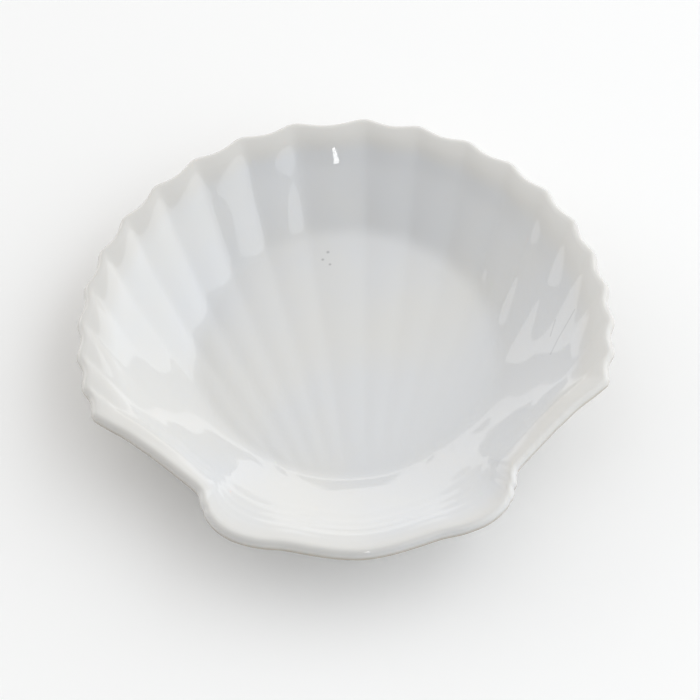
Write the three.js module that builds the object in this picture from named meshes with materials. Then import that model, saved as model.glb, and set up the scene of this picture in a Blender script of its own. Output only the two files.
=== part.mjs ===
// A scallop shell dish: one piece of white glazed porcelain, in millimetres, +Z up.
// The hinge end, with its lip and two ears, points along -Y, and the fan opens along +Y. The origin is on the
// surface that the dish stands on, midway between its front and its back.
//
// The body is one closed skin. A place on it has an angle, counted in degrees from +Y, and a ring number:
// 0 at the centre of the fan and 1 on the rim. The flutes are straight lines that spread from the hinge
// point, so the net's columns turn as they go inwards, to run along the flutes.
import * as THREE from "three";
import { mergeVertices } from "three/addons/utils/BufferGeometryUtils.js";

// Driving dimensions
const FAN_RADIUS = 70; // the hinge point and the groove tips all lie on this circle
const INSIDE_DEPTH = 16; // from the rim of the fan down to the middle of the floor
const LIP_DROP = 2; // how far the lip lies below the rim of the fan
const FLOOR_THICKNESS = 4.2;
const WALL_THICKNESS = 3.6;
const FOOT_HEIGHT = 2;
const FOOT_RADIUS = 34;
const FOOT_WIDTH = 4.5;
const FOOT_DRAFT = 1; // how far each side of the foot leans over its height

// Flutes: a wide one in the middle, then ten on each side that narrow evenly
const MIDDLE_FLUTE = 17;
const FIRST_FLUTE = 12.9;
const LAST_FLUTE = 7.6;
const FLUTES_A_SIDE = 10;
const RIM_FLUTE_RISE = 0.105; // how far a flute bulges inwards at the rim, as a share of its width
const FLOOR_FLUTE_RISE = 0.03; // how far it rises from the floor, as a share of its width
const GROOVE_ROUNDING = 0.22;
const FLUTE_START = [0.5, 0.8]; // flutes fade in over these distances from the hinge, in fan radii

// Ring numbers where the wall's slope begins and ends its changes, and its slope at the rim
const FAN_WALL = { foot: [0.52, 0.66], flare: [0.84, 1.0], rimSlope: 0.24 };
const LIP_WALL = { foot: [0.5, 0.61], flare: [0.78, 0.9], rimSlope: 0.38 };
const LIP_BLEND = [112, 150]; // the fan's wall turns into the lip's between these angles
const FLOOR_DISHING = 0.5; // rise of the floor from its centre to the foot of the wall
const ROUND_RINGS = 0.5; // rings up to here are circles, and the outer ones take the outline's shape

// The outline from the last groove tip round to the front of the lip, as [angle, radius]
const LIP_OUTLINE = [
  [110.9, 70.0], // corner of the fan
  [114, 67.9],
  [118, 65.4],
  [122, 63.8],
  [127, 62.4],
  [134, 61.6],
  [141, 62.0], // neck
  [143.5, 64.1],
  [147.5, 67.2], // ear
  [152.5, 68.6],
  [158, 68.3],
  [163.5, 67.3], // between the ear and the middle lobe
  [169, 67.5],
  [174.5, 68.1],
  [180, 68.5], // front of the middle lobe
];

// Net
const STEPS_PER_FLUTE = 6;
const LIP_STEPS = 26;
const INSIDE_RINGS = [0.22, 0.42, 0.51, 0.56, 0.61, 0.67, 0.76, 0.84, 0.92, 0.97];
const UNDER_RINGS = [0.97, 0.9, 0.82, 0.74, 0.66, 0.58];
const EDGE_STEPS = 4;
const COLUMN_EASING = 0.45; // how much less than its flutes the columns turn at the fan's corners

const RAD = Math.PI / 180;

function clamp(x, low, high) {
  return Math.min(high, Math.max(low, x));
}

// Runs smoothly from 0 at low to 1 at high.
function ease(x, low, high) {
  const u = clamp((x - low) / (high - low), 0, 1);
  return u * u * (3 - 2 * u);
}

// The area under ease() up to x: adding a slope in this way bends a profile without a crease.
function easedRun(x, low, high) {
  const u = clamp((x - low) / (high - low), 0, 1);
  return (high - low) * (u ** 3 - u ** 4 / 2) + Math.max(0, x - high);
}

// Rim angles of the grooves on one side, from the middle flute's edge to the fan's corner.
function grooveAngles() {
  const angles = [MIDDLE_FLUTE / 2];
  for (let i = 0; i < FLUTES_A_SIDE; i++) {
    const narrowing = i / (FLUTES_A_SIDE - 1);
    angles.push(angles[i] + FIRST_FLUTE + (LAST_FLUTE - FIRST_FLUTE) * narrowing);
  }
  return angles;
}
const GROOVES = grooveAngles();
const CORNER = GROOVES[FLUTES_A_SIDE];

// The flute that meets the rim at an angle: its width in degrees, and its section there, which is 0 in the
// grooves on either side and 1 on the crest.
function fluteAt(rimAngle) {
  const edges = [-GROOVES[0], ...GROOVES];
  const from = edges.findLastIndex((edge) => edge <= rimAngle);
  if (from > FLUTES_A_SIDE) return { width: 0, section: 0 };
  const width = edges[from + 1] - edges[from];
  const wave = Math.sin((Math.PI * (rimAngle - edges[from])) / width);
  const rounded = Math.hypot(wave, GROOVE_ROUNDING) - GROOVE_ROUNDING;
  return { width, section: rounded / (Math.hypot(1, GROOVE_ROUNDING) - GROOVE_ROUNDING) };
}

// How far the flute over a place in plan stands out, for a rise given as a share of the flute's width.
// A line from the hinge point meets the rim at twice the angle it leaves by.
function fluteRise(x, y, share) {
  const leaving = Math.atan2(Math.abs(x), y + FAN_RADIUS);
  const { width, section } = fluteAt((2 * leaving) / RAD);
  const hingeDistance = Math.hypot(x, y + FAN_RADIUS);
  const across = (hingeDistance * width * RAD) / 2 / Math.cos(leaving);
  return share * across * section * ease(hingeDistance / FAN_RADIUS, ...FLUTE_START);
}

// Radius of the outline without its flutes: the fan's circle, then a smooth curve through the lip's points.
function outlineRadius(angle) {
  const next = LIP_OUTLINE.findIndex(([a]) => a > angle);
  if (next === 0) return FAN_RADIUS;
  if (next < 0) return LIP_OUTLINE.at(-1)[1];
  const at = (i) => LIP_OUTLINE[clamp(i, 0, LIP_OUTLINE.length - 1)];
  const slope = (i) => (at(i + 1)[1] - at(i - 1)[1]) / (at(i + 1)[0] - at(i - 1)[0]);
  const [a0, r0] = at(next - 1);
  const [a1, r1] = at(next);
  const run = a1 - a0;
  const u = (angle - a0) / run;
  const startSlope = next === 1 ? (r1 - r0) / run : slope(next - 1);
  const endSlope = next === LIP_OUTLINE.length - 1 ? 0 : slope(next);
  return (
    r0 * (1 + 2 * u) * (1 - u) ** 2 +
    startSlope * run * u * (1 - u) ** 2 +
    r1 * u * u * (3 - 2 * u) -
    endSlope * run * u * u * (1 - u)
  );
}

// Distance from the centre to a ring, without the flutes.
function ringRadius(angle, ring) {
  const round = ROUND_RINGS * FAN_RADIUS;
  if (ring <= ROUND_RINGS) return ring * FAN_RADIUS;
  return round + ((outlineRadius(angle) - round) * (ring - ROUND_RINGS)) / (1 - ROUND_RINGS);
}

// Height above the middle of the floor of one wall profile, which reaches top at a rim this far out.
function profileHeight(ring, wall, top, rimDistance) {
  const middle = ([from, to]) => (from + to) / 2;
  const rimSlope = (wall.rimSlope * (rimDistance - ROUND_RINGS * FAN_RADIUS)) / (1 - ROUND_RINGS);
  const flareRun = 1 - middle(wall.flare);
  const wallSlope = (top - FLOOR_DISHING - rimSlope * flareRun) / (middle(wall.flare) - middle(wall.foot));
  return (
    FLOOR_DISHING * ease(ring, 0, ROUND_RINGS) +
    wallSlope * easedRun(ring, ...wall.foot) -
    (wallSlope - rimSlope) * easedRun(ring, ...wall.flare)
  );
}

// Height of the inside above the middle of the floor, without the flutes.
function insideHeight(angle, ring) {
  const fan = profileHeight(ring, FAN_WALL, INSIDE_DEPTH, FAN_RADIUS);
  const front = profileHeight(ring, LIP_WALL, INSIDE_DEPTH - LIP_DROP, LIP_OUTLINE.at(-1)[1]);
  return fan + (front - fan) * ease(angle, ...LIP_BLEND);
}

// A point of the inside skin. The flutes bulge inwards on the wall, and upwards where it meets the floor.
// They die away on the floor itself.
function insidePoint(angle, ring) {
  const size = Math.abs(angle);
  const direction = new THREE.Vector3(Math.sin(angle * RAD), Math.cos(angle * RAD), 0);
  const base = direction.clone().multiplyScalar(ringRadius(size, ring));
  const bulge = fluteRise(base.x, base.y, RIM_FLUTE_RISE) * ease(ring, 0.55, 1);
  const nearWall = ease(ring, 0.3, 0.5) * (1 - ease(ring, 0.6, 0.9));
  const lift = fluteRise(base.x, base.y, FLOOR_FLUTE_RISE) * nearWall;
  const inset = (WALL_THICKNESS / 2) * ease(ring, 0.8, 1);
  base.addScaledVector(direction, -bulge - inset);
  base.z = FOOT_HEIGHT + FLOOR_THICKNESS + insideHeight(size, ring) + lift;
  return base;
}

// A point of the outside skin: the inside, moved down by the thickness of the wall at its slope.
function outsidePoint(angle, ring) {
  const size = Math.abs(angle);
  const reach = 0.02;
  const [low, high] = [ring - reach, Math.min(1, ring + reach)];
  const rise = insideHeight(size, high) - insideHeight(size, low);
  const run = ringRadius(size, high) - ringRadius(size, low);
  const wall = WALL_THICKNESS * Math.hypot(1, rise / run);
  const point = insidePoint(angle, ring);
  point.z -= FLOOR_THICKNESS + (wall - FLOOR_THICKNESS) * ease(ring, 0.55, 0.75);
  return point;
}

// The angle at which a column that starts from rimAngle crosses a ring. Columns of the fan turn with the
// flute lines as far as the foot of the wall, and those of the lip are spread evenly over what is left.
function columnAngle(rimAngle, ring) {
  const size = Math.min(Math.abs(rimAngle), CORNER);
  const leaving = (size / 2) * RAD;
  const turned = Math.asin(Math.min(0.95, Math.sin(leaving) / Math.max(ring, 0.6)));
  const easing = 1 - COLUMN_EASING * ease(size, 40, CORNER);
  const followed = size + (turned / RAD - size / 2) * easing;
  const spread = (Math.abs(rimAngle) - size) / (180 - size);
  return Math.sign(rimAngle) * (followed + (180 - followed) * spread);
}

// Rim angles of the net's columns, from the front of the lip all the way round.
function rimAngles() {
  const half = [];
  for (let i = 0; i < STEPS_PER_FLUTE / 2; i++) half.push((MIDDLE_FLUTE / STEPS_PER_FLUTE) * (i + 1));
  for (let flute = 0; flute < FLUTES_A_SIDE; flute++) {
    const width = GROOVES[flute + 1] - GROOVES[flute];
    for (let i = 1; i <= STEPS_PER_FLUTE; i++) half.push(GROOVES[flute] + (width * i) / STEPS_PER_FLUTE);
  }
  for (let i = 1; i < LIP_STEPS; i++) half.push(CORNER + ((180 - CORNER) * i) / LIP_STEPS);
  return [180, ...half.map((a) => -a).reverse(), 0, ...half];
}

// One ring of a skin, given as the function that makes its points.
function skinRing(skin, ring) {
  return rimAngles().map((rimAngle) => skin(columnAngle(rimAngle, ring), ring));
}

// A circle of the foot, at a radius and height of its own.
function footRing(radius, z) {
  return rimAngles().map((rimAngle) => {
    const angle = columnAngle(rimAngle, 0) * RAD;
    return new THREE.Vector3(radius * Math.sin(angle), radius * Math.cos(angle), z);
  });
}

// The half-round edge between the two skins, as rings from the inside skin to the outside one.
function edgeRings() {
  const top = skinRing(insidePoint, 1);
  const bottom = skinRing(outsidePoint, 1);
  const outwards = top.map((point, i) => {
    const before = top.at(i - 1);
    const after = top[(i + 1) % top.length];
    const across = new THREE.Vector3(after.y - before.y, before.x - after.x, 0).normalize();
    return across.dot(point) < 0 ? across.negate() : across;
  });
  const rings = [];
  for (let step = 0; step <= EDGE_STEPS; step++) {
    const turn = (Math.PI * step) / EDGE_STEPS;
    const along = (1 - Math.cos(turn)) / 2;
    const out = (WALL_THICKNESS / 2) * Math.sin(turn);
    rings.push(
      top.map((point, i) => point.clone().lerp(bottom[i], along).addScaledVector(outwards[i], out)),
    );
  }
  return rings;
}

// Joins the centre of the floor, every ring in turn and the centre of the underside into one closed skin.
function dishGeometry() {
  const footInner = FOOT_RADIUS - FOOT_WIDTH;
  const rings = [
    ...INSIDE_RINGS.map((ring) => skinRing(insidePoint, ring)),
    ...edgeRings(),
    ...UNDER_RINGS.map((ring) => skinRing(outsidePoint, ring)),
    footRing(FOOT_RADIUS + FOOT_DRAFT, FOOT_HEIGHT),
    footRing(FOOT_RADIUS, 0),
    footRing(footInner, 0),
    footRing(footInner - FOOT_DRAFT, FOOT_HEIGHT),
  ];
  const floorCentre = insidePoint(0, 0);
  const underCentre = new THREE.Vector3(0, 0, FOOT_HEIGHT);
  const points = [floorCentre, ...rings.flat(), underCentre];
  const count = rings[0].length;
  const at = (ring, column) => 1 + ring * count + (column % count);
  const faces = [];
  for (let c = 0; c < count; c++) {
    faces.push(0, at(0, c + 1), at(0, c));
    faces.push(points.length - 1, at(rings.length - 1, c), at(rings.length - 1, c + 1));
    for (let r = 0; r + 1 < rings.length; r++) {
      faces.push(at(r, c), at(r, c + 1), at(r + 1, c + 1));
      faces.push(at(r, c), at(r + 1, c + 1), at(r + 1, c));
    }
  }
  const geometry = mergeVertices(new THREE.BufferGeometry().setFromPoints(points).setIndex(faces), 1e-4);
  geometry.computeVertexNormals();
  return geometry;
}

const glaze = new THREE.MeshStandardMaterial({ color: "#e3e3e1", roughness: 0.08, metalness: 0 });
const dish = new THREE.Mesh(dishGeometry(), glaze);
dish.name = "shell_dish";
const front = LIP_OUTLINE.at(-1)[1];
const back = FAN_RADIUS * Math.cos(GROOVES[0] * RAD);
dish.position.y = (front - back) / 2; // the skin is laid out round the centre of the fan

const part = new THREE.Group();
part.add(dish);
export default part;
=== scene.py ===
"""A scallop shell dish of white glazed porcelain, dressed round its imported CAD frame."""

import logging
import math
from dataclasses import dataclass, field
from enum import Enum

import bpy
import numpy as np
from mathutils import Matrix, Vector


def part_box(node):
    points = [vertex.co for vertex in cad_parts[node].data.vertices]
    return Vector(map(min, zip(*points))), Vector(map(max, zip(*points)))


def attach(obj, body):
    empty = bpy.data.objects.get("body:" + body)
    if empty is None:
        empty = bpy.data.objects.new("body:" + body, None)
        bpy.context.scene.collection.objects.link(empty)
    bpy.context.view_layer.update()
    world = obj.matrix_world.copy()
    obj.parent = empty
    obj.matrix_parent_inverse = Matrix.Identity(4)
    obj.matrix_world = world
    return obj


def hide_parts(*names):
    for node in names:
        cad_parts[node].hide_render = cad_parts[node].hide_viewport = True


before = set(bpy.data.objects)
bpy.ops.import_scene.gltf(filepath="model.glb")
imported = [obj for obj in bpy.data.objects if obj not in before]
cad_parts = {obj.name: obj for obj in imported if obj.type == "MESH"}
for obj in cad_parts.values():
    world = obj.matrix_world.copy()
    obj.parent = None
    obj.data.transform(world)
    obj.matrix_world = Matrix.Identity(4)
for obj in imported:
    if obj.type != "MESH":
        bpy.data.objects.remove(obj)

log = logging.getLogger("shell_dish")

MM = 0.001


# --------------------------------------------------------------------------------------------------
# Curves that the shape is made of
# --------------------------------------------------------------------------------------------------


def ease(x: np.ndarray, low: float, high: float) -> np.ndarray:
    """Runs smoothly from 0 at low to 1 at high.

    Args:
        x: Where to read the curve.
        low: Start of the rise.
        high: End of the rise.

    Returns:
        The height of the curve at x.
    """
    u = np.clip((x - low) / (high - low), 0, 1)
    return u * u * (3 - 2 * u)


def eased_run(x: np.ndarray, low: float, high: float) -> np.ndarray:
    """The area under ease() up to x, which bends a profile by a slope without a crease.

    Args:
        x: Where to read the curve.
        low: Start of the bend.
        high: End of the bend.

    Returns:
        The area at x.
    """
    u = np.clip((x - low) / (high - low), 0, 1)
    return (high - low) * (u**3 - u**4 / 2) + np.maximum(0, x - high)


def bell(x: np.ndarray, middle: float, half_width: float) -> np.ndarray:
    """A smooth hump, 1 at its middle and 0 beyond its half width.

    Args:
        x: Where to read the curve.
        middle: Place of the hump.
        half_width: Distance from the middle to where it has died away.

    Returns:
        The height of the hump at x.
    """
    return 1 - ease(np.abs(x - middle), 0, half_width)


# --------------------------------------------------------------------------------------------------
# Shape
# --------------------------------------------------------------------------------------------------


class Skin(Enum):
    """The two glazed faces of the body."""

    INSIDE = "inside"
    OUTSIDE = "outside"


@dataclass(frozen=True)
class Flutes:
    """The flutes of the fan: straight ridges that spread from the hinge point, with grooves between.

    Angles are rim angles, in degrees from +Y, where a flute's line meets the circle of the fan.
    """

    fan_radius: float
    middle_width: float = 17.0
    first_width: float = 12.9
    last_width: float = 7.6
    a_side: int = 10
    groove_rounding: float = 0.22

    def grooves(self) -> np.ndarray:
        """Rim angles of the grooves on one side, from the middle flute's edge to the fan's corner."""
        widths = np.linspace(self.first_width, self.last_width, self.a_side)
        return self.middle_width / 2 + np.concatenate([[0.0], np.cumsum(widths)])

    def line_angle(self, x: np.ndarray, y: np.ndarray) -> np.ndarray:
        """Rim angle of the line from the hinge point through a place in plan."""
        return 2 * np.degrees(np.arctan2(np.abs(x), y + self.fan_radius))

    def section(self, rim_angle: np.ndarray) -> tuple[np.ndarray, np.ndarray]:
        """The flute at a rim angle.

        Args:
            rim_angle: Rim angles, 0 or more.

        Returns:
            Its width in degrees, 0 outside the fan, and its section: 0 in a groove and 1 on the crest.
        """
        edges = np.concatenate([[-self.middle_width / 2], self.grooves()])
        flute = np.clip(np.searchsorted(edges, rim_angle, side="right") - 1, 0, self.a_side)
        width = edges[flute + 1] - edges[flute]
        wave = np.sin(np.pi * np.clip((rim_angle - edges[flute]) / width, 0, 1))
        crest = math.hypot(1, self.groove_rounding) - self.groove_rounding
        section = (np.hypot(wave, self.groove_rounding) - self.groove_rounding) / crest
        inside = rim_angle < edges[-1]
        return np.where(inside, width, 0.0), np.where(inside, section, 0.0)

    def rise(self, x: np.ndarray, y: np.ndarray, share: float, start: tuple[float, float]) -> np.ndarray:
        """How far the flute over a place in plan stands out.

        Args:
            x: Place across the dish.
            y: Place along the dish.
            share: The rise wanted, as a share of the flute's width.
            start: Distances from the hinge point, in fan radii, between which the flutes come up.

        Returns:
            The rise in metres.
        """
        width, section = self.section(self.line_angle(x, y))
        leaving = np.arctan2(np.abs(x), y + self.fan_radius)
        distance = np.hypot(x, y + self.fan_radius)
        across = distance * np.radians(width) / 2 / np.cos(leaving)
        return share * across * section * ease(distance / self.fan_radius, *start)


@dataclass(frozen=True)
class Wall:
    """A wall profile: the ring numbers between which its slope changes, and its slope at the rim."""

    foot: tuple[float, float]
    flare: tuple[float, float]
    rim_slope: float

    def height(self, ring: np.ndarray, top: float, dishing: float, ring_scale: float) -> np.ndarray:
        """Height of the profile above the middle of the floor.

        Args:
            ring: Ring numbers, 0 at the centre and 1 on the rim.
            top: Height at the rim.
            dishing: Rise of the floor up to the foot of the wall.
            ring_scale: Distance that one whole ring number spans on the wall.

        Returns:
            The height at each ring.
        """
        rim_slope = self.rim_slope * ring_scale
        flare_middle, foot_middle = sum(self.flare) / 2, sum(self.foot) / 2
        slope = (top - dishing - rim_slope * (1 - flare_middle)) / (flare_middle - foot_middle)
        climb = slope * eased_run(ring, *self.foot) - (slope - rim_slope) * eased_run(ring, *self.flare)
        return dishing * ease(ring, 0, 0.5) + climb


@dataclass
class ShellDish:
    """The fired body of the dish, laid out round the centre of its fan, then set down in the frame.

    Angles are in degrees from +Y. The lip's outline is a list of angles and radii in millimetres, and
    a growth line is its ring number, its half width in ring numbers and its height.
    """

    fan_radius: float = 70 * MM
    inside_depth: float = 16 * MM
    lip_drop: float = 2 * MM
    floor_thickness: float = 4.2 * MM
    wall_thickness: float = 3.6 * MM
    foot_height: float = 2 * MM
    foot_radius: float = 34 * MM
    foot_width: float = 4.5 * MM
    foot_draft: float = 1 * MM
    foot_rounding: float = 0.5 * MM
    rim_flute_rise: float = 0.105
    floor_flute_rise: float = 0.026
    wall_flute_start: tuple[float, float] = (0.62, 1.05)
    floor_flute_start: tuple[float, float] = (0.46, 0.62)
    round_rings: float = 0.5
    floor_dishing: float = 0.5 * MM
    fan_wall: Wall = Wall((0.53, 0.63), (0.84, 1.0), 0.24)
    lip_wall: Wall = Wall((0.54, 0.58), (0.78, 0.90), 0.38)
    lip_blend: tuple[float, float] = (112.0, 150.0)
    lip_outline: tuple[tuple[float, float], ...] = (
        (110.9, 70.0),
        (114, 67.9),
        (118, 65.4),
        (122, 63.8),
        (127, 62.4),
        (134, 61.6),
        (141, 62.0),
        (143.5, 64.1),
        (147.5, 67.2),
        (152.5, 68.6),
        (158, 68.3),
        (163.5, 67.3),
        (169, 67.5),
        (174.5, 68.1),
        (180, 68.5),
    )
    neck_from: float = 0.66
    lip_inset: float = 1.8 * MM
    neck_inset: float = 3.6 * MM
    neck_angle: float = 134.0
    neck_half_width: float = 36.0
    growth_rows: tuple[tuple[float, float, float], ...] = (
        (0.785, 0.012, 0.05 * MM),
        (0.835, 0.018, 0.06 * MM),
        (0.875, 0.014, 0.07 * MM),
        (0.915, 0.020, 0.09 * MM),
        (0.945, 0.010, 0.04 * MM),
    )
    growth_wander: float = 0.007
    ear_angle: float = 144.5
    ear_half_width: float = 5.0
    ear_step: float = 0.30 * MM
    ear_step_angle: float = 2.5
    ear_first_step: float = 140.7
    left_ear_share: float = 0.5
    low_wall_share: float = 0.42
    high_wall_share: float = 0.58
    side_lines: tuple[float, float] = (46.0, 84.0)
    side_fade: float = 0.85
    side_rim_share: float = 0.36
    steps_per_flute: int = 22
    lip_steps: int = 130
    floor_steps: int = 26
    wall_steps: int = 40
    edge_steps: int = 10
    under_steps: int = 14
    column_easing: float = 0.45
    plan_fit: float = 0.9998
    flutes: Flutes = field(init=False)

    def __post_init__(self) -> None:
        """Lays out the flutes on the fan."""
        self.flutes = Flutes(self.fan_radius)

    # Smooth shape ----------------------------------------------------------------------------------

    def outline_radius(self, angle: np.ndarray) -> np.ndarray:
        """Radius of the outline without its flutes: the fan's circle, then a smooth curve round the lip.

        Args:
            angle: Angles from +Y, 0 to 180 degrees.

        Returns:
            The radius in metres.
        """
        knots = np.array([a for a, _ in self.lip_outline])
        radii = np.array([r for _, r in self.lip_outline]) * MM
        slopes = np.zeros_like(radii)
        slopes[1:-1] = (radii[2:] - radii[:-2]) / (knots[2:] - knots[:-2])
        slopes[0] = (radii[1] - radii[0]) / (knots[1] - knots[0])
        i = np.clip(np.searchsorted(knots, angle, side="right") - 1, 0, len(knots) - 2)
        run = knots[i + 1] - knots[i]
        u = np.clip((angle - knots[i]) / run, 0, 1)
        curve = (
            radii[i] * (1 + 2 * u) * (1 - u) ** 2
            + slopes[i] * run * u * (1 - u) ** 2
            + radii[i + 1] * u * u * (3 - 2 * u)
            - slopes[i + 1] * run * u * u * (1 - u)
        )
        return np.where(angle <= knots[0], self.fan_radius, curve)

    def ring_radius(self, angle: np.ndarray, ring: np.ndarray) -> np.ndarray:
        """Distance from the centre to a ring without the flutes: a circle, then the outline's shape.

        The rings between are drawn in evenly at the neck, so the notches mark only the top of the wall.

        Args:
            angle: Angles from +Y, 0 to 180 degrees.
            ring: Ring numbers, 0 at the centre and 1 on the rim.

        Returns:
            The distance in metres.
        """
        circle = self.round_rings * self.fan_radius
        share = (ring - self.round_rings) / (1 - self.round_rings)
        neck = self.neck_inset * bell(angle, self.neck_angle, self.neck_half_width)
        calm = self.fan_radius - (self.lip_inset * ease(angle, 110, 150) + neck)
        outline = calm + (self.outline_radius(angle) - calm) * ease(ring, self.neck_from, 1)
        shaped = circle + (outline - circle) * share
        return np.where(ring <= self.round_rings, ring * self.fan_radius, shaped)

    def inside_height(self, angle: np.ndarray, ring: np.ndarray) -> np.ndarray:
        """Height of the inside above the middle of the floor, without the flutes.

        Args:
            angle: Angles from +Y, 0 to 180 degrees.
            ring: Ring numbers, 0 at the centre and 1 on the rim.

        Returns:
            The height in metres.
        """
        circle = self.round_rings * self.fan_radius
        spread = 1 - self.round_rings
        lip_radius = self.lip_outline[-1][1] * MM
        fan = self.fan_wall.height(
            ring, self.inside_depth, self.floor_dishing, (self.fan_radius - circle) / spread
        )
        lip_top = self.inside_depth - self.lip_drop
        lip = self.lip_wall.height(ring, lip_top, self.floor_dishing, (lip_radius - circle) / spread)
        return fan + (lip - fan) * ease(angle, *self.lip_blend)

    # Detail ----------------------------------------------------------------------------------------

    def growth_lines(self, angle: np.ndarray, ring: np.ndarray) -> np.ndarray:
        """Height of the low ridges that run round the lip, parallel to its edge.

        Args:
            angle: Angles from +Y, 0 to 180 degrees.
            ring: Ring numbers, 0 at the centre and 1 on the rim.

        Returns:
            The height in metres.
        """
        height = np.zeros_like(ring)
        for place, half_width, rise in self.growth_rows:
            wander = self.growth_wander * np.sin(np.radians(angle * 6 + 900 * place))
            height += rise * bell(ring, place + wander, half_width)
        return height * ease(angle, 104, 128)

    def ear_steps(self, angle: np.ndarray, ring: np.ndarray) -> np.ndarray:
        """How far the small steps in the edge of the ears, clearest on the right, stand out.

        Args:
            angle: Angles from +Y, negative on the left side.
            ring: Ring numbers, 0 at the centre and 1 on the rim.

        Returns:
            The distance outwards in metres.
        """
        size = np.abs(angle)
        turn = np.radians((size - self.ear_first_step) * (360 / self.ear_step_angle))
        along = bell(size, self.ear_angle, self.ear_half_width) * np.sin(turn)
        share = np.where(angle > 0, 1.0, self.left_ear_share)
        return self.ear_step * along * share * ease(ring, 0.86, 1)

    # Skins -----------------------------------------------------------------------------------------

    def inside_points(self, angle: np.ndarray, ring: np.ndarray) -> np.ndarray:
        """Points of the inside skin. Flutes bulge inwards on the wall and upwards on the floor.

        The flutes reach part of their depth low on the wall and the rest at the rim. Towards the sides
        of the fan the low part fades away.

        Args:
            angle: Angles from +Y, negative on the left side.
            ring: Ring numbers, 0 at the centre and 1 on the rim.

        Returns:
            An array of points with x, y and z in its last axis.
        """
        size = np.abs(angle)
        sine, cosine = np.sin(np.radians(angle)), np.cos(np.radians(angle))
        radius = self.ring_radius(size, ring)
        x, y = radius * sine, radius * cosine
        side = ease(self.flutes.line_angle(x, y), *self.side_lines)
        depth = self.low_wall_share * ease(ring, 0.52, 0.62) * (1 - self.side_fade * side)
        depth += self.high_wall_share * ease(ring, 0.76, 1)
        depth += self.side_rim_share * side * ease(ring, 0.90, 1)
        bulge = self.flutes.rise(x, y, self.rim_flute_rise, self.wall_flute_start) * depth
        lift = self.flutes.rise(x, y, self.floor_flute_rise, self.floor_flute_start)
        lift = lift * (1 - ease(ring, 0.6, 0.9)) * (1 - ease(self.flutes.line_angle(x, y), 50, 76))
        detail = self.growth_lines(size, ring)
        inset = self.wall_thickness / 2 * ease(ring, 0.8, 1)
        inner = radius - bulge - inset + self.ear_steps(angle, ring)
        z = self.foot_height + self.floor_thickness + self.inside_height(size, ring) + lift + detail
        return np.stack([inner * sine, inner * cosine, z], axis=-1)

    def outside_points(self, angle: np.ndarray, ring: np.ndarray) -> np.ndarray:
        """Points of the outside skin: the inside, moved down by the thickness of the wall at its slope.

        Args:
            angle: Angles from +Y, negative on the left side.
            ring: Ring numbers, 0 at the centre and 1 on the rim.

        Returns:
            An array of points with x, y and z in its last axis.
        """
        size = np.abs(angle)
        reach = 0.02
        low, high = ring - reach, np.minimum(1, ring + reach)
        rise = self.inside_height(size, high) - self.inside_height(size, low)
        run = self.ring_radius(size, high) - self.ring_radius(size, low)
        wall = self.wall_thickness * np.hypot(1, rise / run)
        points = self.inside_points(angle, ring)
        points[..., 2] -= self.floor_thickness + (wall - self.floor_thickness) * ease(ring, 0.55, 0.75)
        return points

    # Net -------------------------------------------------------------------------------------------

    def rim_angles(self) -> np.ndarray:
        """Lays out the net's columns, from the front of the lip all the way round.

        Returns:
            The rim angle of each column, in degrees from +Y.
        """
        grooves = self.flutes.grooves()
        half = [grooves[0] * np.arange(1, self.steps_per_flute // 2 + 1) / (self.steps_per_flute // 2)]
        steps = np.arange(1, self.steps_per_flute + 1) / self.steps_per_flute
        for start, end in zip(grooves, grooves[1:]):
            half.append(start + (end - start) * steps)
        corner = grooves[-1]
        half.append(corner + (180 - corner) * np.arange(1, self.lip_steps) / self.lip_steps)
        right = np.concatenate(half)
        return np.concatenate([[180.0], -right[::-1], [0.0], right])

    def column_angles(self, ring: float) -> np.ndarray:
        """Turns the columns of the fan along its flutes on their way in.

        Args:
            ring: The ring's number, 0 at the centre and 1 on the rim.

        Returns:
            The angle at which each column crosses the ring.
        """
        rim_angle = self.rim_angles()
        corner = self.flutes.grooves()[-1]
        size = np.minimum(np.abs(rim_angle), corner)
        turned = np.degrees(np.arcsin(np.minimum(0.95, np.sin(np.radians(size / 2)) / max(ring, 0.6))))
        easing = 1 - self.column_easing * ease(size, 40, corner)
        followed = size + (turned - size / 2) * easing
        spread = (np.abs(rim_angle) - size) / (180 - size)
        return np.sign(rim_angle) * (followed + (180 - followed) * spread)

    def skin_ring(self, skin: Skin, ring: float) -> np.ndarray:
        """Lays out one ring of a skin.

        Args:
            skin: Which of the two skins.
            ring: The ring's number, 0 at the centre and 1 on the rim.

        Returns:
            The points of the ring, one on each column.
        """
        angles = self.column_angles(ring)
        points = self.inside_points if skin is Skin.INSIDE else self.outside_points
        return points(angles, np.full_like(angles, ring))

    def edge_rings(self) -> list[np.ndarray]:
        """Rounds the edge of the rim from the inside skin to the outside one.

        Returns:
            The points of each ring of the edge.
        """
        top, bottom = self.skin_ring(Skin.INSIDE, 1), self.skin_ring(Skin.OUTSIDE, 1)
        along = np.roll(top, -1, axis=0) - np.roll(top, 1, axis=0)
        outwards = np.stack([along[:, 1], -along[:, 0], np.zeros(len(top))], axis=-1)
        outwards /= np.linalg.norm(outwards, axis=1, keepdims=True)
        outwards *= np.sign((outwards * top).sum(axis=1, keepdims=True))
        rings = []
        for turn in np.linspace(0, math.pi, self.edge_steps + 1):
            share = (1 - math.cos(turn)) / 2
            reach = self.wall_thickness / 2 * math.sin(turn)
            rings.append(top + (bottom - top) * share + outwards * reach)
        return rings

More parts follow.
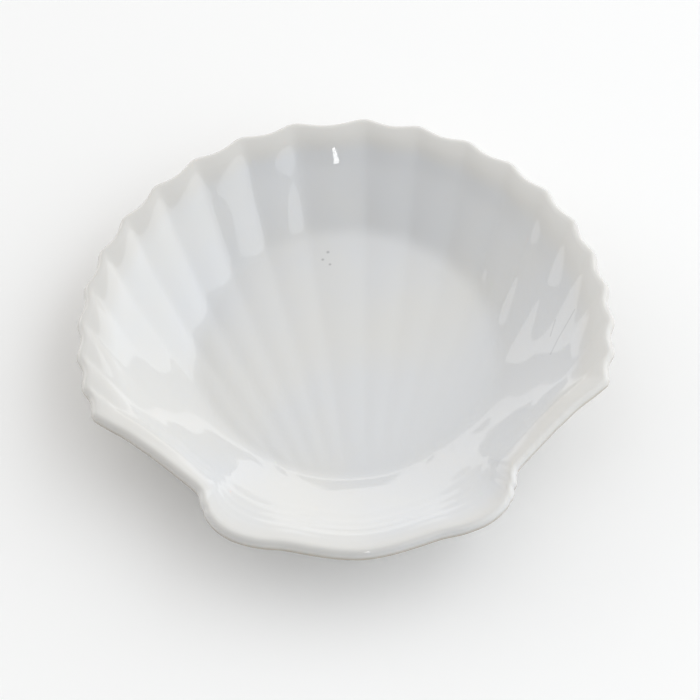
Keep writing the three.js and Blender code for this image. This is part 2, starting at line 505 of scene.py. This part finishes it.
    def foot_rings(self) -> list[np.ndarray]:
        """Shapes the foot: down its outer side, across the ring that it stands on and up into the recess.

        Returns:
            The points of each ring of the foot.
        """
        inner = self.foot_radius - self.foot_width
        bevel = self.foot_rounding
        profile = (
            (self.foot_radius + self.foot_draft, self.foot_height),
            (self.foot_radius + bevel / 2, bevel),
            (self.foot_radius - bevel * 0.3, bevel * 0.25),
            (self.foot_radius - bevel, 0),
            (inner + bevel, 0),
            (inner + bevel * 0.3, bevel * 0.25),
            (inner - bevel / 2, bevel),
            (inner - self.foot_draft, self.foot_height - bevel),
            (inner - self.foot_draft - bevel, self.foot_height),
            (inner * 0.6, self.foot_height),
            (inner * 0.25, self.foot_height),
        )
        angles = np.radians(self.column_angles(0))
        return [
            np.stack([radius * np.sin(angles), radius * np.cos(angles), np.full_like(angles, z)], axis=-1)
            for radius, z in profile
        ]

    def rings(self) -> list[np.ndarray]:
        """Lays out the net from the middle of the floor over the rim to the middle of the underside.

        Returns:
            The points of each ring.
        """
        floor = np.linspace(0, 0.5, self.floor_steps + 1)[1:]
        wall = np.linspace(0.5, 1, self.wall_steps + 1)[1:-1]
        under = np.linspace(1, 0.56, self.under_steps + 1)[1:]
        rings = [self.skin_ring(Skin.INSIDE, ring) for ring in np.concatenate([floor, wall])]
        rings += self.edge_rings()
        rings += [self.skin_ring(Skin.OUTSIDE, ring) for ring in under]
        return rings + self.foot_rings()

    def build(self, middle_y: float) -> bpy.types.Object:
        """Makes the mesh of the dish.

        Args:
            middle_y: Where the middle of the dish lies along the frame's Y.

        Returns:
            The smooth-shaded dish.
        """
        rings = self.rings()
        count = len(rings[0])
        floor_middle = self.inside_points(np.zeros(1), np.zeros(1))
        under_middle = np.array([[0, 0, self.foot_height]])
        points = np.concatenate([floor_middle, *rings, under_middle])
        points[:, :2] *= self.plan_fit
        points[:, 1] += middle_y - (points[:, 1].min() + points[:, 1].max()) / 2
        last = len(points) - 1
        column = np.arange(count)
        after = (column + 1) % count
        faces: list[list[int]] = []
        faces += np.stack([np.zeros(count, int), 1 + after, 1 + column], axis=1).tolist()
        for ring in range(len(rings) - 1):
            inner = 1 + ring * count
            outer = inner + count
            quads = [inner + column, inner + after, outer + after, outer + column]
            faces += np.stack(quads, axis=1).tolist()
        end = 1 + (len(rings) - 1) * count
        faces += np.stack([np.full(count, last), end + column, end + after], axis=1).tolist()
        mesh = bpy.data.meshes.new("glazed_shell_dish")
        mesh.from_pydata(points.tolist(), [], faces)
        mesh.shade_smooth()
        dish = bpy.data.objects.new("glazed_shell_dish", mesh)
        bpy.context.collection.objects.link(dish)
        log.info("dish: %d points, %d faces", len(points), len(faces))
        return dish


# --------------------------------------------------------------------------------------------------
# Finish
# --------------------------------------------------------------------------------------------------


class Socket:
    """An output socket with arithmetic: values add Math, vectors Vector Math and colours Mix nodes."""

    def __init__(self, shader: "Shader", output: bpy.types.NodeSocket) -> None:
        """Wraps one output of one of the shader's nodes."""
        self.shader = shader
        self.output = output

    def _math(self, operation: str, *values: "Socket | float | tuple", result: str | int = 0) -> "Socket":
        """Adds one Math node, or Vector Math where a value is a vector.

        Args:
            operation: The node's operation.
            values: What it works on, in order.
            result: Name or number of the node's output.

        Returns:
            The node's result.
        """
        vector = self.output.type == "VECTOR"
        kind = "ShaderNodeVectorMath" if vector else "ShaderNodeMath"
        return self.shader.node(kind, {"operation": operation}, dict(enumerate(values)), result)

    def __add__(self, other: "Socket | float | tuple") -> "Socket":
        """This plus another."""
        return self._math("ADD", self, other)

    def __radd__(self, other: "float | tuple") -> "Socket":
        """Another plus this."""
        return self._math("ADD", other, self)

    def __sub__(self, other: "Socket | float | tuple") -> "Socket":
        """This less another."""
        return self._math("SUBTRACT", self, other)

    def __rsub__(self, other: "float | tuple") -> "Socket":
        """Another less this."""
        return self._math("SUBTRACT", other, self)

    def __mul__(self, other: "Socket | float | tuple") -> "Socket":
        """This times another."""
        return self._math("MULTIPLY", self, other)

    def __rmul__(self, other: "float | tuple") -> "Socket":
        """Another times this."""
        return self._math("MULTIPLY", other, self)

    def __abs__(self) -> "Socket":
        """This value without its sign."""
        return self._math("ABSOLUTE", self)

    def maximum(self, other: "Socket | float") -> "Socket":
        """The larger of this value and another."""
        return self._math("MAXIMUM", self, other)

    def length(self) -> "Socket":
        """The length of this vector."""
        return self._math("LENGTH", self, result="Value")

    def axis(self, name: str) -> "Socket":
        """This vector's part along an axis."""
        return self.shader.node("ShaderNodeSeparateXYZ", None, {0: self}, name)

    def smooth_step(self, low: float, high: float) -> "Socket":
        """Runs smoothly from 0 where this value is low to 1 where it is high."""
        limits = {"From Min": low, "From Max": high, "Value": self}
        return self.shader.node("ShaderNodeMapRange", {"interpolation_type": "SMOOTHSTEP"}, limits)

    def between(self, first: "Socket | tuple", second: "Socket | tuple") -> "Socket":
        """The colour that lies between two others, with this value as the share of the second."""
        colours = {0: self, 6: first, 7: second}
        return self.shader.node("ShaderNodeMix", {"data_type": "RGBA"}, colours, 2)


class Shader:
    """The node tree of one material."""

    def __init__(self, name: str) -> None:
        """Starts a material without a surface.

        Args:
            name: Name of the material.
        """
        self.material = bpy.data.materials.new(name)
        self.material.use_nodes = True
        self.tree = self.material.node_tree
        self.tree.nodes.clear()

    def node(
        self,
        kind: str,
        settings: dict[str, object] | None = None,
        inputs: dict[str | int, object] | None = None,
        output: str | int = 0,
    ) -> Socket:
        """Adds a node.

        Args:
            kind: Blender's name for the type of node.
            settings: Its properties, which are set first.
            inputs: A value or a Socket for each input, by the input's name or number.
            output: Name or number of the output that is wanted.

        Returns:
            That output.
        """
        node = self.tree.nodes.new(kind)
        for key, value in (settings or {}).items():
            setattr(node, key, value)
        for key, value in (inputs or {}).items():
            if isinstance(value, Socket):
                self.tree.links.new(value.output, node.inputs[key])
            else:
                node.inputs[key].default_value = value
        return Socket(self, node.outputs[output])

    def finish(self, surface: Socket) -> bpy.types.Material:
        """Joins the surface to the material's output.

        Args:
            surface: The finished shader.

        Returns:
            The material.
        """
        end = self.tree.nodes.new("ShaderNodeOutputMaterial")
        self.tree.links.new(surface.output, end.inputs["Surface"])
        return self.material


@dataclass(frozen=True)
class GlazedPorcelain:
    """White porcelain under a clear, glossy glaze, bare on the ring that it stands on, with painted
    shade.

    Bands of heights are in metres and bands of facing run from 1, straight down, to -1, straight up.
    A speck is x, y and radius, and a hairline runs from one place in plan to another, in millimetres.
    """

    body: tuple[float, float, float, float] = (0.690, 0.687, 0.673, 1.0)
    cool: tuple[float, float, float, float] = (0.670, 0.679, 0.692, 1.0)
    # Painted shade: a darker, greyer band round the top of the rim, between these heights.
    rim: tuple[float, float, float, float] = (0.668, 0.659, 0.638, 1.0)
    rim_shade_band: tuple[float, float] = (18.2 * MM, 21.0 * MM)
    # Painted shade: the outside is darker and warmer wherever it faces down.
    outside: tuple[float, float, float, float] = (0.650, 0.643, 0.625, 1.0)
    underside_shade_facing: tuple[float, float] = (-0.25, 0.3)
    # Painted shadow: a dark, warm line under the edge of the rim, where it faces down, between these
    # heights.
    edge: tuple[float, float, float, float] = (0.430, 0.385, 0.315, 1.0)
    edge_shade_facing: tuple[float, float] = (-0.55, 0.2)
    edge_shade_band: tuple[float, float] = (15.6 * MM, 17.4 * MM)
    bare_clay: tuple[float, float, float, float] = (0.62, 0.60, 0.56, 1.0)
    speck_colour: tuple[float, float, float, float] = (0.16, 0.15, 0.16, 1.0)
    specks: tuple[tuple[float, float, float], ...] = (
        (-2.9, 32.9, 0.22),
        (-4.5, 30.5, 0.15),
        (-2.6, 28.6, 0.10),
    )
    hairlines: tuple[tuple[tuple[float, float], tuple[float, float]], ...] = (
        ((55.4, -1.2), (53.5, -5.7)),
        ((60.3, -0.7), (55.3, -7.3)),
        ((55.3, -7.3), (52.7, -11.5)),
    )
    speck_strength: float = 0.5
    speck_blur: float = 0.5
    hairline_strength: float = 0.2
    hairline_blur: tuple[float, float] = (0.02 * MM, 0.30 * MM)
    gloss: float = 0.02
    gloss_variation: float = 0.02
    bare_roughness: float = 0.75
    bare_below: float = 0.35 * MM
    floor_height: float = 7 * MM

    def specks_at(self, place: Socket) -> Socket:
        """Marks the few dark specks in the glaze of the floor.

        Args:
            place: The place on the dish.

        Returns:
            The strength of the speck there, and 0 elsewhere.
        """
        mask = None
        for x, y, radius in self.specks:
            away = (place - (x * MM, y * MM, self.floor_height)).length()
            speck = 1 - away.smooth_step(0, (radius + self.speck_blur) * MM)
            mask = speck if mask is None else mask.maximum(speck)
        return mask * self.speck_strength

    def hairlines_at(self, place: Socket) -> Socket:
        """Marks the two fine hairlines in the glaze of the right wall.

        Args:
            place: The place on the dish.

        Returns:
            The strength of the hairline there, and 0 elsewhere.
        """
        mask = None
        for start, end in self.hairlines:
            x, y = place.axis("X") - start[0] * MM, place.axis("Y") - start[1] * MM
            length = math.dist(start, end)
            run_x, run_y = (end[0] - start[0]) / length, (end[1] - start[1]) / length
            across = abs(x * run_y - y * run_x)
            along = x * run_x + y * run_y
            beyond = (0 - along).maximum(along - length * MM).maximum(0.0)
            line = 1 - (across + beyond).smooth_step(*self.hairline_blur)
            mask = line if mask is None else mask.maximum(line)
        return mask * self.hairline_strength

    def material(self) -> bpy.types.Material:
        """Builds the material.

        Returns:
            The glaze, for the whole dish.
        """
        shader = Shader("glazed_porcelain")
        place = shader.node("ShaderNodeTexCoord", output="Object")
        facing_down = 0 - shader.node("ShaderNodeNewGeometry", output="Normal").axis("Z")
        cloud = shader.node("ShaderNodeTexNoise", None, {"Vector": place, "Scale": 22.0, "Detail": 3.0})
        swell = shader.node("ShaderNodeTexNoise", None, {"Vector": place, "Scale": 55.0, "Detail": 1.0})
        peel = shader.node("ShaderNodeTexNoise", None, {"Vector": place, "Scale": 700.0, "Detail": 2.0})
        bare = 1 - place.axis("Z").smooth_step(self.bare_below * 0.6, self.bare_below)
        glazed = cloud.smooth_step(0.35, 0.65).between(self.body, self.cool)
        # Painted shade round the top of the rim.
        glazed = place.axis("Z").smooth_step(*self.rim_shade_band).between(glazed, self.rim)
        # Painted shade on the outside where it faces down.
        outside = facing_down.smooth_step(*self.underside_shade_facing)
        glazed = outside.between(glazed, self.outside)
        # Painted shadow under the edge of the rim.
        edge = facing_down.smooth_step(*self.edge_shade_facing) * place.axis("Z").smooth_step(*self.edge_shade_band)
        glazed = edge.between(glazed, self.edge)
        blemish = (1 - outside) * self.specks_at(place).maximum(self.hairlines_at(place))
        glazed = blemish.between(glazed, self.speck_colour)
        roughness = self.gloss + self.gloss_variation * cloud + (self.bare_roughness - self.gloss) * bare
        bump = {"Strength": 0.6, "Distance": 0.2 * MM, "Height": swell * 0.9 + peel * 0.012}
        surface = shader.node(
            "ShaderNodeBsdfPrincipled",
            {"subsurface_method": "RANDOM_WALK"},
            {
                "Base Color": bare.between(glazed, self.bare_clay),
                "Roughness": roughness,
                "Normal": shader.node("ShaderNodeBump", None, bump, "Normal"),
                "IOR": 1.52,
                "Subsurface Weight": 0.12,
                "Subsurface Radius": (1.0, 0.9, 0.75),
                "Subsurface Scale": 2 * MM,
            },
        )
        return shader.finish(surface)


@dataclass(frozen=True)
class PalePaper:
    """The matt white paper that the dish stands on."""

    tone: tuple[float, float, float, float] = (0.94, 0.94, 0.94, 1.0)
    roughness: float = 0.9

    def material(self) -> bpy.types.Material:
        """Builds the material.

        Returns:
            The paper, for the floor.
        """
        shader = Shader("pale_paper")
        looks = {"Base Color": self.tone, "Roughness": self.roughness}
        return shader.finish(shader.node("ShaderNodeBsdfPrincipled", None, looks))


# --------------------------------------------------------------------------------------------------
# Studio
# --------------------------------------------------------------------------------------------------


@dataclass(frozen=True)
class Panel:
    """A soft rectangular light that faces the dish.

    Its direction is in degrees, from +Y towards +X and up from the floor, and its size and distance
    are in metres.
    """

    name: str
    azimuth: float
    elevation: float
    size: tuple[float, float]
    radiance: float
    distance: float = 1.5
    colour: tuple[float, float, float] = (1.0, 1.0, 1.0)


@dataclass
class Studio:
    """The plain pale floor, the soft lights and the camera.

    The camera's distance and the place that it aims at are in fan radii. The room's light runs from
    its strength at the front to its strength at the back.
    """

    fan_radius: float
    centre_y: float
    rim_height: float
    floor_half_width: float = 3.0
    camera_elevation: float = 55.56
    camera_azimuth: float = -2.01
    camera_roll: float = 2.21
    camera_distance: float = 6.0
    lens: float = 84.36
    sensor_width: float = 36.0
    aim: tuple[float, float] = (0.0146, -0.1517)
    room_light: tuple[float, float] = (0.30, 1.0)
    room_fade: tuple[float, float] = (-0.9, 0.7)
    room_tone: tuple[float, float, float, float] = (1.0, 0.992, 0.975, 1.0)
    panels: tuple[Panel, ...] = (
        Panel("window", 99, 34, size=(3.2, 1.8), radiance=1.2, colour=(0.93, 0.965, 1.0)),
        Panel("back_panel", 5, 9, size=(2.2, 0.26), radiance=0.7),
        Panel("lamp", 174, 59, size=(0.05, 0.2), radiance=10.0, distance=1.2),
        Panel("left_panel", -60, 16, size=(1.1, 0.85), radiance=1.15),
    )

    def add_camera(self) -> None:
        """Adds the camera and makes it the scene's."""
        data = bpy.data.cameras.new("camera")
        data.lens = self.lens
        data.sensor_width = self.sensor_width
        data.clip_start = 0.01
        camera = bpy.data.objects.new("camera", data)
        bpy.context.collection.objects.link(camera)
        azimuth = math.radians(self.camera_azimuth)
        elevation = math.radians(self.camera_elevation)
        turn = Matrix.Rotation(azimuth, 3, "Z")
        rim_centre = Vector((0, self.centre_y, self.rim_height))
        target = rim_centre + turn @ Vector((*self.aim, 0)) * self.fan_radius
        back = turn @ Vector((0, -math.cos(elevation), math.sin(elevation)))
        rotation = turn @ Matrix.Rotation(math.pi / 2 - elevation, 3, "X")
        rotation = rotation @ Matrix.Rotation(-math.radians(self.camera_roll), 3, "Z")
        place = target + back * self.camera_distance * self.fan_radius
        camera.matrix_world = Matrix.Translation(place) @ rotation.to_4x4()
        bpy.context.scene.camera = camera

    def add_floor(self) -> None:
        """Adds the floor, far wider than the view."""
        size = self.floor_half_width
        mesh = bpy.data.meshes.new("floor")
        corners = [(-size, -size, 0), (size, -size, 0), (size, size, 0), (-size, size, 0)]
        mesh.from_pydata(corners, [], [(0, 1, 2, 3)])
        floor = bpy.data.objects.new("floor", mesh)
        bpy.context.collection.objects.link(floor)
        mesh.materials.append(PalePaper().material())

    def add_panel(self, panel: Panel) -> None:
        """Adds a soft rectangular light that faces the dish.

        Args:
            panel: What the light is like and where it stands.
        """
        data = bpy.data.lights.new(panel.name, "AREA")
        data.shape = "RECTANGLE"
        data.size, data.size_y = panel.size
        data.energy = panel.radiance * math.pi * panel.size[0] * panel.size[1]
        data.color = panel.colour
        light = bpy.data.objects.new(panel.name, data)
        bpy.context.collection.objects.link(light)
        azimuth = math.radians(panel.azimuth)
        elevation = math.radians(panel.elevation)
        level = math.cos(elevation)
        direction = Vector((math.sin(azimuth) * level, math.cos(azimuth) * level, math.sin(elevation)))
        light.location = direction * panel.distance
        light.rotation_euler = direction.to_track_quat("Z", "Y").to_euler()

    def add_room(self) -> None:
        """Adds the even light of the room, which is darker towards the front."""
        world = bpy.data.worlds.new("room")
        world.use_nodes = True
        tree = world.node_tree
        direction = tree.nodes.new("ShaderNodeTexCoord")
        parts = tree.nodes.new("ShaderNodeSeparateXYZ")
        fade = tree.nodes.new("ShaderNodeMapRange")
        fade.interpolation_type = "SMOOTHSTEP"
        fade.inputs["From Min"].default_value, fade.inputs["From Max"].default_value = self.room_fade
        fade.inputs["To Min"].default_value, fade.inputs["To Max"].default_value = self.room_light
        background = tree.nodes["Background"]
        background.inputs["Color"].default_value = self.room_tone
        tree.links.new(direction.outputs["Generated"], parts.inputs[0])
        tree.links.new(parts.outputs["Y"], fade.inputs["Value"])
        tree.links.new(fade.outputs[0], background.inputs["Strength"])
        bpy.context.scene.world = world

    def build(self) -> None:
        """Sets up the camera, the floor and the lights."""
        self.add_camera()
        self.add_floor()
        for panel in self.panels:
            self.add_panel(panel)
        self.add_room()
        bpy.context.scene.view_settings.view_transform = "Standard"


def main() -> None:
    """Builds the dish and its studio round the frame."""
    logging.basicConfig(level=logging.INFO, format="%(name)s: %(message)s")
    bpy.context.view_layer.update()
    low, high = (Vector(corner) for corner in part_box("shell_dish"))
    dish = ShellDish()
    piece = dish.build((low.y + high.y) / 2)
    centre_y = high.y - dish.fan_radius * math.cos(math.radians(dish.flutes.grooves()[0]))
    piece.data.materials.append(GlazedPorcelain().material())
    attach(piece, "root")
    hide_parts("shell_dish")
    log.info("glazed_shell_dish: made and dressed")

    Studio(dish.fan_radius, centre_y, high.z).build()
    log.info("studio: floor, lights and camera set")


if __name__ == "__main__":
    main()
